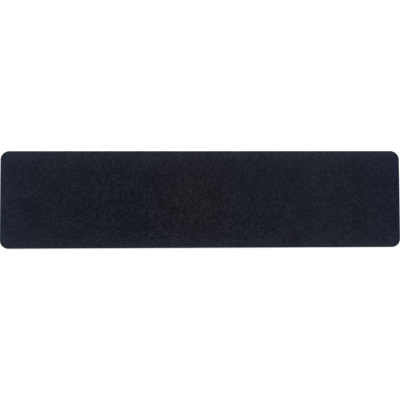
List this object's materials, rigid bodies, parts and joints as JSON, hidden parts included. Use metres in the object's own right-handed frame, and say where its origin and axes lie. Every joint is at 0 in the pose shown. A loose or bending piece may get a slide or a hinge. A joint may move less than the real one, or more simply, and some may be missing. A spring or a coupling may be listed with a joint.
{
  "type": "anti-slip tape strip",
  "caption": "Flat black grit-coated tape strip with rounded corners and an adhesive underside, laid along a stair tread to stop feet slipping.",
  "frame": {"origin": "middle of the flat adhesive face, which lies at z = 0", "axes": "+X along the strip, +Y across it, +Z out of the grit face"},
  "size_m": [0.61, 0.148, 0.0008],
  "materials": {
    "black_grit": "coarse mineral grit set in black resin on a plastic film, dull with small glints"
  },
  "bodies": {
    "root": {"anti_slip_strip": "black_grit"}
  },
  "joints": []
}
